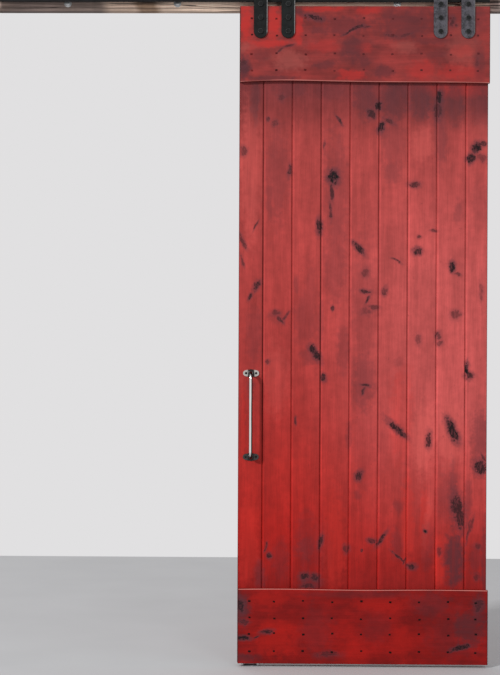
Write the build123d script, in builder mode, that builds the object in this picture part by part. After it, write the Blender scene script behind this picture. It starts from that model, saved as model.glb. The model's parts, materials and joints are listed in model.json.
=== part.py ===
"""Sliding barn door: plank door, strap hangers, flat track, header board and floor guide.

Millimetres, +Z up, +X to the right, the door's front towards -Y.
The wall plane is y = 0, and z = 0 is the centre line of the header board and of the track.
"""

from build123d import *
import os
from math import cos, radians, sin, sqrt

os.makedirs("parts", exist_ok=True)

# Door leaf
door_width = 914.0
door_height = 2413.0
door_rest_x = 485.5  # centre of the leaf when it is parked at the right
board_count = 9
board_thickness = 25.0
first_board = 89.0  # the two outer boards are ripped narrower
last_board = 81.0
seam_gap = 0.8
seam_chamfer = 3.0
tongue_thickness = 8.0
tongue_length = 8.0
tongue_clearance = 0.2
groove_spare = 0.8  # room past the tongue's tip
edge_ease = 1.2
kerf_width = 8.0
kerf_depth = 20.0

# Battens across the ends of the leaf
batten_thickness = 22.0
top_batten_height = 277.0
bottom_batten_height = 273.0
batten_left_inset = 2.0
batten_right_overhang = 4.0
batten_ease = 1.5
# How far the hewn edge of a batten wanders, at equal steps from left to right
top_hewn_edge = (1.0, -4.8, -2.6, 0.0, 1.0, 1.4, 3.6)
bottom_hewn_edge = (0.0, 1.6, 0.4, -0.8, 0.6, 1.2, 0.0)

# Cut nails
nail_head = (9.0, 7.0)
nail_head_rise = 1.4
nail_head_taper = 35.0
nail_shank = (4.0, 3.0)
nail_bite = 18.0  # how deep a nail goes into the board
nail_clearance = 0.1
nail_shift = -6.5  # the nailing line lies left of the middle of the inner boards
nail_scatter = (1.2, 2.4)
top_nail_rows = (45.0, 107.0, 175.0, 235.0)  # below the top edge of the batten
bottom_nail_rows = (44.0, 106.0, 163.0, 227.0)

# Header board and its lag screws
header_length = 2134.0
header_height = 105.0
header_thickness = 38.0
header_ease = 2.0
stud_spacing = 406.4
header_end_room = 40.0  # least distance from the last screws to the header's ends
header_row_z = 24.0
header_screw_radius = 4.0
header_thread_radius = 3.6
header_screw_bite = 50.0  # threaded length that stands out behind the header
header_screw_af = 13.0
header_screw_head = 5.5
header_washer_radius = 14.0
washer_thickness = 2.0
drilled_clearance = 0.2  # on the radius of each drilled hole

# Track
door_back_gap = 6.0
rail_length = 1829.0
rail_height = 50.0
rail_thickness = 8.0
rail_centre_x = 31.5
rail_end_room = 80.0  # least distance from the last lag bolts to the track's ends
rail_ease = 0.8
standoff_radius = 12.0
lag_radius = 4.0
lag_af = 13.0
lag_head = 5.5
lag_depth = 33.0  # how deep a lag bolt goes into the header
lag_spare = 2.0
rail_to_door = 17.7

# Hangers
hanger_inset = 127.5  # from the leaf's edge to the hanger's middle
strap_width = 50.0
strap_thickness = 6.0
strap_leg_pitch = 101.0
strap_ease = 0.8
hanger_bolt_drops = (43.0, 93.0)  # below the top edge of the leaf
hanger_bolt_radius = 5.0
hanger_bolt_af = 17.0
hanger_bolt_head = 6.4
hanger_washer_radius = 12.0
hanger_nut_height = 8.0
bolt_tail = 4.0
head_chamfer = 0.8

# Anti-jump pins, which pass under the track
pin_rise = 7.0  # above the top edge of the leaf
pin_radius = 4.0
pin_sleeve_radius = 6.0
pin_clearance = 0.1
pin_overlap = 7.0  # how far the sleeve goes past the back of the track
pin_rivet_radius = 6.0
pin_rivet_thickness = 2.0

# Wheels, bearings and axles
wheel_tread_radius = 45.0
wheel_flange_height = 7.0
wheel_width = 24.0
wheel_groove_clearance = 0.5  # on each side of the track
wheel_groove_flare = 2.0
wheel_web = 10.0
wheel_hub_width = 14.0
wheel_hub_wall = 6.0
wheel_rim_wall = 9.0
rim_ease = 1.0
roll_clearance = 0.3
axle_spacer = 2.0
axle_radius = 6.0
axle_af = 19.0
axle_head = 7.5
axle_nut_height = 10.0
spacer_wall = 2.5
bearing_radius = 16.0
bearing_width = 10.0
ball_radius = 3.0
ball_count = 7
race_depth = 0.9
ring_seat = 0.05
race_clearance = 0.05

# End stops
stop_length = 26.0
stop_height = 36.0  # above the track's top edge
stop_grip = 10.0  # how far its cheeks reach down the track
stop_clearance = 0.15
stop_ease = 1.5
bumper_radius = 11.0
bumper_length = 12.0
bumper_rise = 20.0  # its centre, above the track's top edge
bumper_ease = 1.5
grub_radius = 3.0
grub_socket_af = 3.0
grub_socket_depth = 3.0
grub_pitch = 13.0

# Floor guide
floor_gap = 12.0
guide_inset = 47.0  # its centre, from the leaf's edge at both ends of the travel
guide_base = (64.0, 44.0)
guide_base_thickness = 3.0
guide_base_corner = 4.0
guide_fin_length = 50.0
guide_fin_clearance = 0.5
guide_fin_engagement = 15.0
guide_root_fillet = 1.5
guide_screw_pitch = (46.0, 28.0)
guide_screw_radius = 2.2
guide_screw_head = 4.3
guide_screw_length = 28.0

# Bar handle
handle_inset = 47.0
handle_height = 911.0  # its middle, above the bottom edge of the leaf
handle_pitch = 308.0
handle_standoff = 50.0
rod_radius = 6.35
rod_bend = 20.0
plate_ear_radius = 11.0
plate_screw_pitch = 37.0
plate_centre_radius = 14.5
plate_thickness = 4.0
collar_radius = 11.5
collar_height = 9.0
collar_ease = 3.0
rod_clearance = 0.1
plate_screw_radius = 2.1
plate_screw_head = 4.4
plate_screw_length = 22.0
screw_tip = 4.0

# Depths, from the wall towards the front
header_front_y = -header_thickness
board_back_y = header_front_y - door_back_gap
board_front_y = board_back_y - board_thickness
batten_front_y = board_front_y - batten_thickness
strap_front_y = batten_front_y - strap_thickness
wheel_plane_y = batten_front_y + axle_spacer + wheel_width / 2
rail_back_y = wheel_plane_y + rail_thickness / 2
rail_front_y = rail_back_y - rail_thickness
board_middle_y = (board_back_y + board_front_y) / 2

# Heights
rail_top_z = rail_height / 2
door_top_z = -rail_height / 2 - rail_to_door
door_bottom_z = door_top_z - door_height
floor_z = door_bottom_z - floor_gap
axle_z = rail_top_z + wheel_tread_radius + roll_clearance
crown_z = axle_z - strap_leg_pitch / 2
strap_end_z = door_top_z - hanger_bolt_drops[-1]
pin_z = door_top_z + pin_rise
flange_radius = wheel_tread_radius + wheel_flange_height

# Places along the track
hanger_spacing = door_width - 2 * hanger_inset
door_left_x = door_rest_x - door_width / 2
door_right_x = door_rest_x + door_width / 2
hanger_xs = {"left": door_rest_x - hanger_spacing / 2, "right": door_rest_x + hanger_spacing / 2}
door_travel = door_width - 2 * guide_inset


def front(y):
    """The plane at depth y that faces the front, with X to the right and Z up."""
    return Plane.XZ.offset(-y)


def save(builder, label):
    """Label a finished piece and write it."""
    builder.part.label = label
    export_step(builder.part, f"parts/{label}.step")


def rounds(plane, places, radius):
    """Circles of one radius on the plane."""
    with BuildSketch(plane) as circles:
        with Locations(*places):
            Circle(radius)
    return circles.sketch


def drill(plane, places, radius, depth):
    """Cut a round hole behind the plane at each place."""
    extrude(rounds(plane, places, radius), amount=-depth, mode=Mode.SUBTRACT)


def hex_heads(plane, places, across_flats, height, both_ends=False):
    """Hexagon heads on the plane, with chamfered tops, or nuts with both ends chamfered."""
    with BuildSketch(plane) as hexagons:
        with Locations(*places):
            RegularPolygon(across_flats / 2, 6, major_radius=False)
    extrude(hexagons.sketch, amount=height)
    levels = (0, height) if both_ends else (height,)
    for face in faces().filter_by(GeomType.PLANE):
        level = plane.to_local_coords(face.center()).Z
        if abs(face.normal_at().dot(plane.z_dir)) > 0.99 and any(abs(level - z) < 1e-6 for z in levels):
            chamfer(face.edges(), head_chamfer)


def cone(lower_plane, upper_plane, place, lower_radius, upper_radius, mode=Mode.ADD):
    """A cone between two planes, added or cut."""
    ends = [rounds(lower_plane, [place], lower_radius), rounds(upper_plane, [place], upper_radius)]
    loft(ends, mode=mode)


def shanks(plane, places, radius, length, tip=0.0):
    """Round shanks behind the plane, with an optional tapered tip."""
    extrude(rounds(plane, places, radius), amount=-(length - tip))
    if tip:
        for place in places:
            cone(plane.offset(-length), plane.offset(tip - length), place, radius / 4, radius)


def discs(plane, places, outer_radius, inner_radius, thickness):
    """Flat washers or tubes on the plane."""
    with BuildSketch(plane) as rings:
        with Locations(*places):
            Circle(outer_radius)
            Circle(inner_radius, mode=Mode.SUBTRACT)
    extrude(rings.sketch, amount=thickness)


# Seams between the boards, counted from the leaf's left edge
board_cover = (door_width - first_board - last_board) / (board_count - 2)
board_edges = [0.0] + [first_board + board_cover * i for i in range(board_count - 1)] + [door_width]

# Nails stand in one column for each board
nail_columns = [(board_edges[i] + board_edges[i + 1]) / 2 for i in range(board_count)]
nail_columns = [x + (nail_shift if 0 < i < board_count - 1 else 0) for i, x in enumerate(nail_columns)]


def nail_places(edge_z, rows):
    """Places of a batten's nails, a little off their grid as hand nailing leaves them."""
    scatter_x, scatter_z = nail_scatter
    return [
        (door_left_x + x + scatter_x * sin(5.1 * i + 2.3 * j), edge_z - row + scatter_z * sin(3.7 * i + 1.9 * j))
        for i, x in enumerate(nail_columns)
        for j, row in enumerate(rows)
    ]


top_nails = nail_places(door_top_z, top_nail_rows)
bottom_batten_top_z = door_bottom_z + bottom_batten_height
bottom_nails = nail_places(bottom_batten_top_z, bottom_nail_rows)

# Through bolts of both hangers
hanger_legs = {
    side: (x - strap_leg_pitch / 2, x + strap_leg_pitch / 2) for side, x in hanger_xs.items()
}
hanger_bolts = {
    side: [(x, door_top_z - drop) for x in legs for drop in hanger_bolt_drops]
    for side, legs in hanger_legs.items()
}
all_hanger_bolts = hanger_bolts["left"] + hanger_bolts["right"]

# Handle
handle_x = door_left_x + handle_inset
handle_z = door_bottom_z + handle_height
plate_zs = {"upper": handle_z + handle_pitch / 2, "lower": handle_z - handle_pitch / 2}
plate_screws = [
    (handle_x + side * plate_screw_pitch / 2, z) for z in plate_zs.values() for side in (-1, 1)
]


# Boards
def board_outline(left, right, grooved, tongued):
    """Plan of one board: a groove on its left edge, a tongue on its right edge."""
    half_tongue = tongue_thickness / 2
    half_groove = half_tongue + tongue_clearance
    groove = tongue_length + groove_spare
    left_ease = seam_chamfer if grooved else edge_ease
    right_ease = seam_chamfer if tongued else edge_ease
    points = [
        (left, board_back_y),
        (left, board_front_y + left_ease),
        (left + left_ease, board_front_y),
        (right - right_ease, board_front_y),
        (right, board_front_y + right_ease),
        (right, board_back_y),
    ]
    if tongued:
        tongue = [
            (right, board_middle_y - half_tongue),
            (right + tongue_length, board_middle_y - half_tongue),
            (right + tongue_length, board_middle_y + half_tongue),
            (right, board_middle_y + half_tongue),
        ]
        points = points[:5] + tongue + points[5:]
    if grooved:
        hollow = [
            (left, board_middle_y + half_groove),
            (left + groove, board_middle_y + half_groove),
            (left + groove, board_middle_y - half_groove),
            (left, board_middle_y - half_groove),
        ]
        points = points[:1] + hollow + points[1:]
    return points


for number in range(1, board_count + 1):
    grooved, tongued = number > 1, number < board_count
    left = door_left_x + board_edges[number - 1] + (seam_gap / 2 if grooved else 0)
    right = door_left_x + board_edges[number] - (seam_gap / 2 if tongued else 0)
    reach = right + (tongue_length if tongued else 0)
    with BuildPart() as board:
        with BuildSketch(Plane.XY.offset(door_bottom_z)):
            with BuildLine():
                Polyline(*board_outline(left, right, grooved, tongued), close=True)
            make_face()
        extrude(amount=door_height)
        with BuildSketch(Plane.XY.offset(door_bottom_z)):
            with Locations(((left + right) / 2, board_middle_y)):
                Rectangle(2 * board_cover, kerf_width)
        extrude(amount=kerf_depth, mode=Mode.SUBTRACT)
        bolt_hole = hanger_bolt_radius + drilled_clearance
        bolts = [place for place in all_hanger_bolts if left - bolt_hole < place[0] < reach + bolt_hole]
        if bolts:
            drill(front(board_front_y), bolts, bolt_hole, board_thickness)
        screws = [place for place in plate_screws if left < place[0] < right]
        if screws:
            screw_hole = plate_screw_radius + drilled_clearance
            drill(front(board_front_y), screws, screw_hole, plate_screw_length)
        with BuildSketch(front(board_front_y)):
            with Locations(*[place for place in top_nails + bottom_nails if left < place[0] < right]):
                Rectangle(nail_shank[0] + 2 * nail_clearance, nail_shank[1] + 2 * nail_clearance)
        extrude(amount=-(nail_bite + nail_clearance), mode=Mode.SUBTRACT)
    save(board, f"board_{number}")


# Battens
def batten(straight_z, hewn_z, hewn_edge, nails, bolts):
    """A batten with one straight edge, one hewn edge, and its holes."""
    left = door_left_x + batten_left_inset
    right = door_right_x + batten_right_overhang
    step = (right - left) / (len(hewn_edge) - 1)
    inward = 1 if hewn_z < straight_z else -1
    wander = [(left + i * step, hewn_z - inward * dip) for i, dip in enumerate(hewn_edge)]
    with BuildPart() as made:
        with BuildSketch(front(board_front_y)):
            with BuildLine():
                Spline(*wander)
                Polyline(wander[-1], (right, straight_z), (left, straight_z), wander[0])
            make_face()
        extrude(amount=batten_thickness)
        chamfer(made.faces().sort_by(Axis.Y)[0].edges(), batten_ease)
        with BuildSketch(front(batten_front_y)):
            with Locations(*nails):
                Rectangle(nail_shank[0] + 2 * nail_clearance, nail_shank[1] + 2 * nail_clearance)
        extrude(amount=-batten_thickness, mode=Mode.SUBTRACT)
        if bolts:
            drill(front(batten_front_y), bolts, hanger_bolt_radius + drilled_clearance, batten_thickness)
    return made


save(
    batten(door_top_z, door_top_z - top_batten_height, top_hewn_edge, top_nails, all_hanger_bolts),
    "top_batten",
)
save(batten(door_bottom_z, bottom_batten_top_z, bottom_hewn_edge, bottom_nails, []), "bottom_batten")

for name, places in {"top_batten_nails": top_nails, "bottom_batten_nails": bottom_nails}.items():
    with BuildPart() as nails:
        with BuildSketch(front(batten_front_y)):
            with Locations(*places):
                Rectangle(*nail_head)
        extrude(amount=nail_head_rise, taper=nail_head_taper)
        with BuildSketch(front(batten_front_y)):
            with Locations(*places):
                Rectangle(*nail_shank)
        extrude(amount=-(batten_thickness + nail_bite))
    save(nails, name)

# Header board with its lag screws and washers
header_columns = int((header_length - 2 * header_end_room) / stud_spacing) + 1
header_first_x = -stud_spacing * (header_columns - 1) / 2
header_places = [
    (header_first_x + stud_spacing * i, z) for i in range(header_columns) for z in (-header_row_z, header_row_z)
]
rail_bolts = int((rail_length - 2 * rail_end_room) / stud_spacing) + 1
rail_first_x = rail_centre_x - stud_spacing * (rail_bolts - 1) / 2
rail_places = [(rail_first_x + stud_spacing * i, 0.0) for i in range(rail_bolts)]

with BuildPart() as header_board:
    with BuildSketch(front(0)):
        Rectangle(header_length, header_height)
    extrude(amount=header_thickness)
    chamfer(header_board.faces().sort_by(Axis.Y)[0].edges(), header_ease)
    drill(front(header_front_y), header_places, header_screw_radius + drilled_clearance, header_thickness)
    drill(front(header_front_y), rail_places, lag_radius + drilled_clearance, lag_depth + lag_spare)
save(header_board, "header_board")

with BuildPart() as header_washers:
    discs(
        front(header_front_y),
        header_places,
        header_washer_radius,
        header_screw_radius + drilled_clearance,
        washer_thickness,
    )
save(header_washers, "header_washers")

with BuildPart() as header_screws:
    seat = front(header_front_y - washer_thickness)
    hex_heads(seat, header_places, header_screw_af, header_screw_head)
    shanks(seat, header_places, header_screw_radius, washer_thickness + header_thickness)
    shanks(front(0), header_places, header_thread_radius, header_screw_bite, screw_tip)
save(header_screws, "header_screws")

# Track rail with its standoffs, washers and lag bolts
with BuildPart() as track_rail:
    with BuildSketch(front(rail_back_y)):
        with Locations((rail_centre_x, 0)):
            Rectangle(rail_length, rail_height)
    extrude(amount=rail_thickness)
    chamfer(track_rail.edges().filter_by(Axis.X), rail_ease)
    drill(front(rail_front_y), rail_places, lag_radius + drilled_clearance, rail_thickness)
save(track_rail, "track_rail")

with BuildPart() as track_standoffs:
    standoff_length = header_front_y - rail_back_y
    lag_bore = lag_radius + drilled_clearance
    discs(front(header_front_y), rail_places, standoff_radius, lag_bore, standoff_length)
save(track_standoffs, "track_standoffs")

with BuildPart() as track_washers:
    discs(front(rail_front_y), rail_places, standoff_radius, lag_bore, washer_thickness)
save(track_washers, "track_washers")

with BuildPart() as track_lag_bolts:
    seat = front(rail_front_y - washer_thickness)
    hex_heads(seat, rail_places, lag_af, lag_head)
    lag_length = washer_thickness + rail_thickness + standoff_length + lag_depth
    shanks(seat, rail_places, lag_radius, lag_length, screw_tip)
save(track_lag_bolts, "track_lag_bolts")

# End stops, each one where the nearer wheel's flange meets its bumper
contact_z = rail_top_z + bumper_rise + bumper_radius - bumper_ease
contact_reach = sqrt(flange_radius**2 - (axle_z - contact_z) ** 2) + roll_clearance
bumper_faces = {
    "left": hanger_xs["left"] - door_travel - contact_reach,
    "right": hanger_xs["right"] + contact_reach,
}
outward = {"left": -1, "right": 1}
stop_faces = {side: x + outward[side] * bumper_length for side, x in bumper_faces.items()}
cheek = (wheel_width - rail_thickness) / 2 - stop_clearance
grub_z = rail_top_z - stop_grip / 2
grub_places = {
    side: [
        (stop_faces[side] + outward[side] * (stop_length / 2 + end * grub_pitch / 2), grub_z) for end in (-1, 1)
    ]
    for side in outward
}

for side, direction in outward.items():
    with BuildPart() as end_stop:
        with BuildSketch(Plane.YZ.offset(stop_faces[side])):
            with Locations((wheel_plane_y, rail_top_z)):
                Rectangle(wheel_width, stop_height, align=(Align.CENTER, Align.MIN))
                Rectangle(wheel_width, stop_grip, align=(Align.CENTER, Align.MAX))
                slot_width = rail_thickness + 2 * stop_clearance
                Rectangle(slot_width, stop_grip, align=(Align.CENTER, Align.MAX), mode=Mode.SUBTRACT)
        extrude(amount=direction * stop_length)
        chamfer(end_stop.faces().sort_by(Axis.Z)[-1].edges(), stop_ease)
        cheek_front = front(wheel_plane_y - wheel_width / 2)
        drill(cheek_front, grub_places[side], grub_radius + drilled_clearance, cheek)
    save(end_stop, f"{side}_end_stop")

    with BuildPart() as bumper:
        with BuildSketch(Plane.YZ.offset(stop_faces[side])):
            with Locations((wheel_plane_y, rail_top_z + bumper_rise)):
                Circle(bumper_radius)
        extrude(amount=-direction * bumper_length)
        faces_out = bumper.faces().sort_by(Axis.X)
        fillet(faces_out[0 if side == "right" else -1].edges(), bumper_ease)
    save(bumper, f"{side}_stop_bumper")

with BuildPart() as stop_grub_screws:
    all_grubs = grub_places["left"] + grub_places["right"]
    with BuildSketch(cheek_front):
        with Locations(*all_grubs):
            Circle(grub_radius)
    extrude(amount=-(cheek + stop_clearance))
    with BuildSketch(cheek_front):
        with Locations(*all_grubs):
            RegularPolygon(grub_socket_af / 2, 6, major_radius=False)
    extrude(amount=-grub_socket_depth, mode=Mode.SUBTRACT)
save(stop_grub_screws, "stop_grub_screws")

# Floor guide: a fin that runs in the kerf under the leaf
guide_x = door_left_x + guide_inset
guide_fin_thickness = kerf_width - 2 * guide_fin_clearance
guide_fin_height = floor_gap + guide_fin_engagement
guide_places = [
    (guide_x + sx * guide_screw_pitch[0] / 2, board_middle_y + sy * guide_screw_pitch[1] / 2)
    for sx in (-1, 1)
    for sy in (-1, 1)
]
floor_plane = Plane.XY.offset(floor_z)
guide_top = floor_plane.offset(guide_base_thickness)
with BuildPart() as floor_guide:
    with BuildSketch(floor_plane):
        with Locations((guide_x, board_middle_y)):
            RectangleRounded(*guide_base, guide_base_corner)
    extrude(amount=guide_base_thickness)
    with BuildSketch(floor_plane):
        with Locations((guide_x, board_middle_y)):
            Rectangle(guide_fin_length, guide_fin_thickness)
    extrude(amount=guide_fin_height)
    roots = floor_guide.edges().filter_by(Axis.X).filter_by(
        lambda e: abs(e.center().Z - floor_z - guide_base_thickness) < 1e-3
        and abs(e.center().Y - board_middle_y) < guide_fin_thickness
    )
    fillet(roots, guide_root_fillet)
    for place in guide_places:
        hole, sink = guide_screw_radius + drilled_clearance, guide_screw_head + drilled_clearance
        cone(floor_plane, guide_top, place, hole, sink, mode=Mode.SUBTRACT)
save(floor_guide, "floor_guide")

with BuildPart() as floor_guide_screws:
    for place in guide_places:
        cone(floor_plane, guide_top, place, guide_screw_radius, guide_screw_head)
    shanks(floor_plane, guide_places, guide_screw_radius, guide_screw_length, screw_tip)
save(floor_guide_screws, "floor_guide_screws")


# Hangers
def turned(centre_x, half_profile):
    """A turned piece about an axle: half profile of (along the axle, radius), mirrored and revolved."""
    centre = Vector(centre_x, wheel_plane_y, axle_z)
    with BuildPart() as made:
        with BuildSketch(Plane(origin=centre, x_dir=(0, 1, 0), z_dir=(1, 0, 0))):
            with BuildLine():
                Polyline(*half_profile, *[(-x, r) for x, r in reversed(half_profile)], close=True)
            make_face()
        revolve(axis=Axis(centre, (0, 1, 0)))
    return made


def race_ring(centre_x, inner, outer):
    """A bearing ring with its ball race."""
    centre = Vector(centre_x, wheel_plane_y, axle_z)
    with BuildPart() as made:
        with BuildSketch(Plane(origin=centre, x_dir=(0, 1, 0), z_dir=(1, 0, 0))):
            with Locations((0, (inner + outer) / 2)):
                Rectangle(bearing_width, outer - inner)
            with Locations((0, ball_pitch)):
                Circle(ball_radius + race_clearance, mode=Mode.SUBTRACT)
        revolve(axis=Axis(centre, (0, 1, 0)))
    return made


ball_pitch = (bearing_radius + axle_radius) / 2
inner_ring_outer = ball_pitch - ball_radius + race_depth
outer_ring_inner = ball_pitch + ball_radius - race_depth
bearing_front_y = wheel_plane_y - bearing_width / 2
bearing_back_y = wheel_plane_y + bearing_width / 2
spacer_length = bearing_front_y - batten_front_y
axle_nut_y = bearing_back_y + spacer_length
groove_half = rail_thickness / 2 + wheel_groove_clearance
hub_radius = bearing_radius + wheel_hub_wall
rim_inner = wheel_tread_radius - wheel_rim_wall
web_half = wheel_web / 2
wheel_profile = [
    (wheel_hub_width / 2, bearing_radius + ring_seat),
    (wheel_hub_width / 2, hub_radius),
    (web_half, hub_radius + wheel_hub_width / 2 - web_half),
    (web_half, rim_inner),
    (wheel_width / 2, rim_inner + 2 * rim_ease),
    (wheel_width / 2, flange_radius - rim_ease),
    (wheel_width / 2 - rim_ease, flange_radius),
    (groove_half + wheel_groove_flare, flange_radius),
    (groove_half, wheel_tread_radius),
]
sleeve_length = rail_back_y + pin_overlap - batten_front_y

for side, x in hanger_xs.items():
    legs = hanger_legs[side]
    pins = [(leg, pin_z) for leg in legs]
    axle = [(x, axle_z)]
    outer_crown = (strap_leg_pitch + strap_width) / 2
    inner_crown = (strap_leg_pitch - strap_width) / 2

    with BuildPart() as strap:
        with BuildSketch(front(batten_front_y)):
            with BuildLine():
                CenterArc((x, crown_z), outer_crown, 0, 180)
                Line((x + outer_crown, crown_z), (x + outer_crown, strap_end_z))
                CenterArc((legs[1], strap_end_z), strap_width / 2, 0, -180)
                Line((x + inner_crown, strap_end_z), (x + inner_crown, crown_z))
                CenterArc((x, crown_z), inner_crown, 0, 180)
                Line((x - inner_crown, crown_z), (x - inner_crown, strap_end_z))
                CenterArc((legs[0], strap_end_z), strap_width / 2, 0, -180)
                Line((x - outer_crown, strap_end_z), (x - outer_crown, crown_z))
            make_face()
        extrude(amount=strap_thickness)
        chamfer(strap.faces().sort_by(Axis.Y)[0].edges(), strap_ease)
        bolt_hole = hanger_bolt_radius + drilled_clearance
        drill(front(strap_front_y), hanger_bolts[side], bolt_hole, strap_thickness)
        drill(front(strap_front_y), pins, pin_radius + pin_clearance, strap_thickness)
        drill(front(strap_front_y), axle, axle_radius + drilled_clearance, strap_thickness)
    save(strap, f"{side}_hanger_strap")

    stack = strap_thickness + batten_thickness + board_thickness
    with BuildPart() as bolts:
        hex_heads(front(strap_front_y), hanger_bolts[side], hanger_bolt_af, hanger_bolt_head)
        bolt_length = stack + washer_thickness + hanger_nut_height + bolt_tail
        shanks(front(strap_front_y), hanger_bolts[side], hanger_bolt_radius, bolt_length)
    save(bolts, f"{side}_hanger_bolts")

    with BuildPart() as washers:
        washer_seat = front(board_back_y + washer_thickness)
        discs(washer_seat, hanger_bolts[side], hanger_washer_radius, bolt_hole, washer_thickness)
    save(washers, f"{side}_hanger_washers")

    with BuildPart() as nuts:
        nut_back = front(board_back_y + washer_thickness + hanger_nut_height)
        hex_heads(nut_back, hanger_bolts[side], hanger_bolt_af, hanger_nut_height, both_ends=True)
        nut_front = front(board_back_y + washer_thickness)
        drill(nut_front, hanger_bolts[side], hanger_bolt_radius + pin_clearance, hanger_nut_height)
    save(nuts, f"{side}_hanger_nuts")

    with BuildPart() as anti_jump_pins:
        hex_heads(front(strap_front_y), pins, hanger_bolt_af, hanger_bolt_head)
        shanks(front(strap_front_y), pins, pin_radius, strap_thickness + sleeve_length)
        rivet_back = front(batten_front_y + sleeve_length + pin_rivet_thickness)
        extrude(rounds(rivet_back, pins, pin_rivet_radius), amount=pin_rivet_thickness)
    save(anti_jump_pins, f"{side}_anti_jump_pins")

    with BuildPart() as anti_jump_sleeves:
        sleeve_back = front(batten_front_y + sleeve_length)
        discs(sleeve_back, pins, pin_sleeve_radius, pin_radius + pin_clearance, sleeve_length)
    save(anti_jump_sleeves, f"{side}_anti_jump_sleeves")

    with BuildPart() as axle_bolt:
        hex_heads(front(strap_front_y), axle, axle_af, axle_head)
        axle_length = axle_nut_y - strap_front_y + axle_nut_height + bolt_tail
        shanks(front(strap_front_y), axle, axle_radius - ring_seat, axle_length)
    save(axle_bolt, f"{side}_axle_bolt")

    with BuildPart() as axle_spacers:
        spacer_radius = axle_radius + spacer_wall
        for back_y in (bearing_front_y, axle_nut_y):
            discs(front(back_y), axle, spacer_radius, axle_radius, spacer_length)
    save(axle_spacers, f"{side}_axle_spacers")

    with BuildPart() as axle_nut:
        nut_back = front(axle_nut_y + axle_nut_height)
        hex_heads(nut_back, axle, axle_af, axle_nut_height, both_ends=True)
        drill(front(axle_nut_y), axle, axle_radius, axle_nut_height)
    save(axle_nut, f"{side}_axle_nut")

    save(turned(x, wheel_profile), f"{side}_wheel")
    save(race_ring(x, axle_radius, inner_ring_outer), f"{side}_bearing_inner_ring")
    save(race_ring(x, outer_ring_inner, bearing_radius), f"{side}_bearing_outer_ring")

    with BuildPart() as balls:
        for i in range(ball_count):
            turn = radians(360 * i / ball_count)
            with Locations((x + ball_pitch * cos(turn), wheel_plane_y, axle_z + ball_pitch * sin(turn))):
                Sphere(ball_radius)
    save(balls, f"{side}_bearing_balls")

# Bar handle
with BuildPart() as handle_rod:
    rod_y = board_front_y - handle_standoff
    with BuildLine(Plane.YZ.offset(handle_x)) as rod_path:
        FilletPolyline(
            (board_front_y, plate_zs["lower"]),
            (rod_y, plate_zs["lower"]),
            (rod_y, plate_zs["upper"]),
            (board_front_y, plate_zs["upper"]),
            radius=rod_bend,
        )
    with BuildSketch(Plane(origin=rod_path.line @ 0, z_dir=rod_path.line % 0)):
        Circle(rod_radius)
    sweep()
save(handle_rod, "handle_rod")

plate_face = front(board_front_y - plate_thickness)
for position, z in plate_zs.items():
    screws = [place for place in plate_screws if place[1] == z]
    with BuildPart() as plate:
        with BuildSketch(front(board_front_y)):
            with Locations((handle_x, z)):
                Circle(plate_centre_radius)
            with Locations(*screws):
                Circle(plate_ear_radius)
            make_hull()
        extrude(amount=plate_thickness)
        with BuildSketch(front(board_front_y)):
            with Locations((handle_x, z)):
                Circle(collar_radius)
        extrude(amount=collar_height)
        fillet(plate.faces().sort_by(Axis.Y)[0].edges(), collar_ease)
        drill(front(board_front_y - collar_height), [(handle_x, z)], rod_radius + rod_clearance, collar_height)
        for place in screws:
            hole, sink = plate_screw_radius + drilled_clearance, plate_screw_head + drilled_clearance
            cone(front(board_front_y), plate_face, place, hole, sink, mode=Mode.SUBTRACT)
    save(plate, f"handle_{position}_plate")

with BuildPart() as handle_screws:
    for place in plate_screws:
        cone(front(board_front_y), plate_face, place, plate_screw_radius, plate_screw_head)
    shanks(front(board_front_y), plate_screws, plate_screw_radius, plate_screw_length - lag_spare, screw_tip)
save(handle_screws, "handle_screws")
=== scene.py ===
"""Looks of the sliding barn door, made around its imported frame.

Metres, +Z up, the door's front towards -Y, as in the frame.
"""

import json
from math import cos, pi, radians, sin, tau

import bmesh
import bpy
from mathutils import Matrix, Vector


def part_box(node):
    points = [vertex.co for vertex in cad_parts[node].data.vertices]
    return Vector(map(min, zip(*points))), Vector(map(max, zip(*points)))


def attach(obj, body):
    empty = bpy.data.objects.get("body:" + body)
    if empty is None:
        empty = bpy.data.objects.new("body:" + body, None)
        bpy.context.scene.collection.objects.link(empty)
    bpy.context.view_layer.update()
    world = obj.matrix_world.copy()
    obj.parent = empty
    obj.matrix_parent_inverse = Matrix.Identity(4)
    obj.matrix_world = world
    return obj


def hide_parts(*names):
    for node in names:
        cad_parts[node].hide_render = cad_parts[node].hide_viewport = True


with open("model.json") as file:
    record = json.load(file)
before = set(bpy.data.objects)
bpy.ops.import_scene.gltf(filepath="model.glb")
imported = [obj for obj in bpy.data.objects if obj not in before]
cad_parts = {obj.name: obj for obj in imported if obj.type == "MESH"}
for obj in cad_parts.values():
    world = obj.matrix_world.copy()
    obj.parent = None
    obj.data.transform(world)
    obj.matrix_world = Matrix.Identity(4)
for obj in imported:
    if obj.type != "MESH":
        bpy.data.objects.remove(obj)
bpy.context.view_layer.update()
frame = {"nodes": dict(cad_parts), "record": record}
nodes = frame["nodes"]
slot_of = {part["node"]: part["material_slot"] for part in frame["record"]["subparts"]}

MM = 0.001
BOARD_COUNT = 9
leaf_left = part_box("board_1")[0].x
leaf_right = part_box(f"board_{BOARD_COUNT}")[1].x
leaf_foot, leaf_top = (corner.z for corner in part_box("board_1"))
leaf_height = leaf_top - leaf_foot
leaf_middle = (leaf_foot + leaf_top) / 2
board_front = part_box("board_1")[0].y
batten_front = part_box("top_batten")[0].y

# The battens' hewn edges, before their wander
top_hewn_z = leaf_top - 277 * MM
bottom_hewn_z = leaf_foot + 273 * MM

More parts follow.
